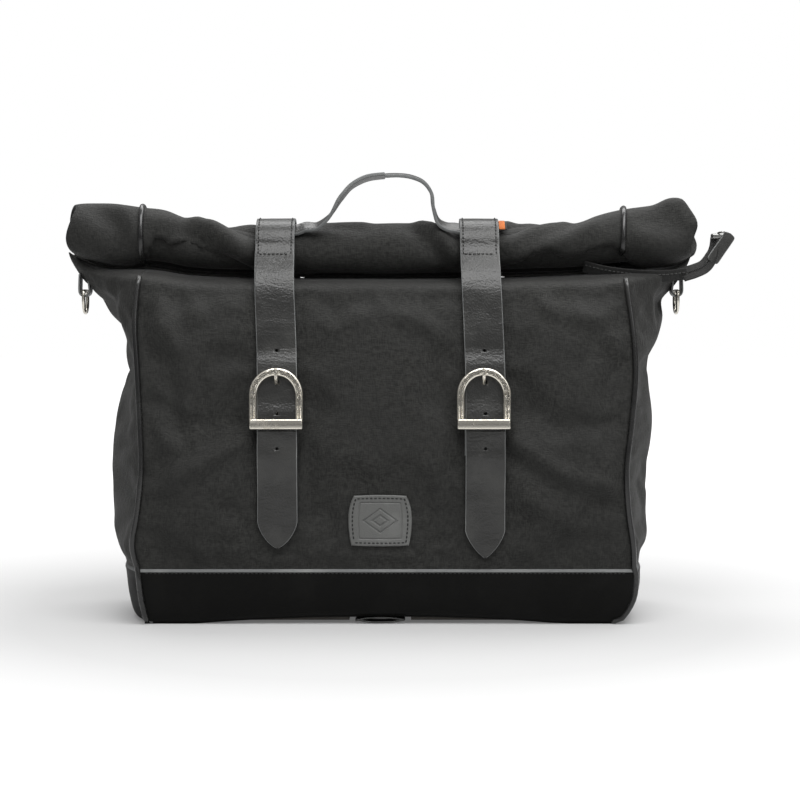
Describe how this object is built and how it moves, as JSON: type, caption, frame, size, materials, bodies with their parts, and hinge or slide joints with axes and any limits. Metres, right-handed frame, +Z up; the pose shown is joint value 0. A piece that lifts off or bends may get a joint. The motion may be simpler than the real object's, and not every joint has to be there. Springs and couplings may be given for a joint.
{
  "type": "roll-top bicycle pannier bag",
  "caption": "Roll-top pannier bag in black waxed cotton with a leather foot, two buckled straps, a carry handle, side D-rings and rack hooks on its back.",
  "frame": {"origin": "middle of the base, on the surface the bag stands on", "axes": "+Z up, the decorated front faces -Y, the rack side faces +Y, +X to the right seen from the front"},
  "size_m": [0.5536, 0.1868, 0.3671],
  "materials": {
    "cotton": "waxed cotton, matte with worn patches",
    "foot_leather": "full-grain leather, semi-gloss",
    "strap_leather": "bridle leather with raw grey edges",
    "piping": "glossy leather piping",
    "board": "stiff sheet",
    "webbing": "woven zip tape",
    "nickel": "warm nickel plate",
    "tag": "woven orange tag",
    "rail": "black anodised extrusion",
    "steel": "plain steel fasteners",
    "hook_plastic": "glass-filled nylon",
    "latch_plastic": "acetal"
  },
  "bodies": {
    "bag": {"front_panel": "cotton", "back_panel": "cotton", "gusset_left": "cotton", "gusset_right": "cotton", "roll_top": "cotton", "leather_front": "foot_leather", "leather_back": "foot_leather", "leather_base": "foot_leather", "leather_end_left": "foot_leather", "leather_end_right": "foot_leather", "piping_front_left": "piping", "piping_front_right": "piping", "piping_rear_left": "piping", "piping_rear_right": "piping", "base_board": "board", "back_stiffener": "board", "zip_tape": "webbing", "zip_slider": "nickel", "side_tag": "tag", "strap_left": "strap_leather", "strap_right": "strap_leather", "buckle_frame_left": "nickel", "buckle_frame_right": "nickel", "buckle_chape_left": "strap_leather", "buckle_chape_right": "strap_leather", "handle_end_left": "strap_leather", "handle_end_right": "strap_leather", "front_patch": "strap_leather", "side_tab_left": "strap_leather", "side_tab_right": "strap_leather", "base_loop": "strap_leather", "upper_rail": "rail", "lower_rail": "rail", "rail_screws": "steel", "rail_nuts": "steel"},
    "handle": {"carry_handle": "strap_leather"},
    "left_tail": {"strap_tail_left": "strap_leather"},
    "right_tail": {"strap_tail_right": "strap_leather"},
    "left_prong": {"buckle_prong_left": "nickel"},
    "right_prong": {"buckle_prong_right": "nickel"},
    "left_ring": {"d_ring_left": "nickel"},
    "right_ring": {"d_ring_right": "nickel"},
    "zip_puller": {"zip_pull": "strap_leather"},
    "left_hook": {"rack_hook_left": "hook_plastic", "latch_pin_left": "steel"},
    "right_hook": {"rack_hook_right": "hook_plastic", "latch_pin_right": "steel"},
    "left_latch": {"hook_latch_left": "latch_plastic"},
    "right_latch": {"hook_latch_right": "latch_plastic"},
    "low_slider": {"lower_hook_slider": "hook_plastic", "pivot_cap": "hook_plastic"},
    "low_arm": {"lower_hook_arm": "hook_plastic"}
  },
  "joints": [
    {"name": "handle_swing", "type": "hinge", "parent": "bag", "child": "handle", "pos_m": [0, -0.02841, 0.32467], "axis": [1, 0, 0], "range_deg": [-45, 75]},
    {"name": "left_tail_lift", "type": "hinge", "parent": "bag", "child": "left_tail", "pos_m": [-0.083, -0.07936, 0.15711], "axis": [-1, 0, 0], "range_deg": [0, 75]},
    {"name": "right_tail_lift", "type": "hinge", "parent": "bag", "child": "right_tail", "pos_m": [0.083, -0.07936, 0.15711], "axis": [-1, 0, 0], "range_deg": [0, 75]},
    {"name": "left_prong_play", "type": "hinge", "parent": "bag", "child": "left_prong", "pos_m": [-0.083, -0.07251, 0.16736], "axis": [1, 0, 0], "range_deg": [0, 3]},
    {"name": "right_prong_play", "type": "hinge", "parent": "bag", "child": "right_prong", "pos_m": [0.083, -0.07251, 0.16736], "axis": [1, 0, 0], "range_deg": [0, 3]},
    {"name": "left_ring_swing", "type": "hinge", "parent": "bag", "child": "left_ring", "pos_m": [-0.2465, 0, 0.269], "axis": [0, 1, 0], "range_deg": [-25, 140]},
    {"name": "right_ring_swing", "type": "hinge", "parent": "bag", "child": "right_ring", "pos_m": [0.2465, 0, 0.269], "axis": [0, -1, 0], "range_deg": [-25, 140]},
    {"name": "zip_pull_swing", "type": "hinge", "parent": "bag", "child": "zip_puller", "pos_m": [0.2826, -0.014, 0.315], "axis": [0, -1, 0], "range_deg": [-10, 110]},
    {"name": "left_hook_slide", "type": "slide", "parent": "bag", "child": "left_hook", "axis": [1, 0, 0], "range_m": [-0.035, 0.035]},
    {"name": "right_hook_slide", "type": "slide", "parent": "bag", "child": "right_hook", "axis": [1, 0, 0], "range_m": [-0.035, 0.035]},
    {"name": "left_latch_press", "type": "hinge", "parent": "left_hook", "child": "left_latch", "pos_m": [-0.08, 0.07945, 0.2225], "axis": [1, 0, 0], "range_deg": [0, 35], "stiffness_Nm_per_rad": 0.03, "springref_deg": -17.19},
    {"name": "right_latch_press", "type": "hinge", "parent": "right_hook", "child": "right_latch", "pos_m": [0.08, 0.07945, 0.2225], "axis": [1, 0, 0], "range_deg": [0, 35], "stiffness_Nm_per_rad": 0.03, "springref_deg": -17.19},
    {"name": "lower_hook_slide", "type": "slide", "parent": "bag", "child": "low_slider", "axis": [1, 0, 0], "range_m": [-0.05, 0.05]},
    {"name": "lower_hook_turn", "type": "hinge", "parent": "low_slider", "child": "low_arm", "pos_m": [0, 0.081, 0.09], "axis": [0, 1, 0], "range_deg": [-60, 60]}
  ]
}
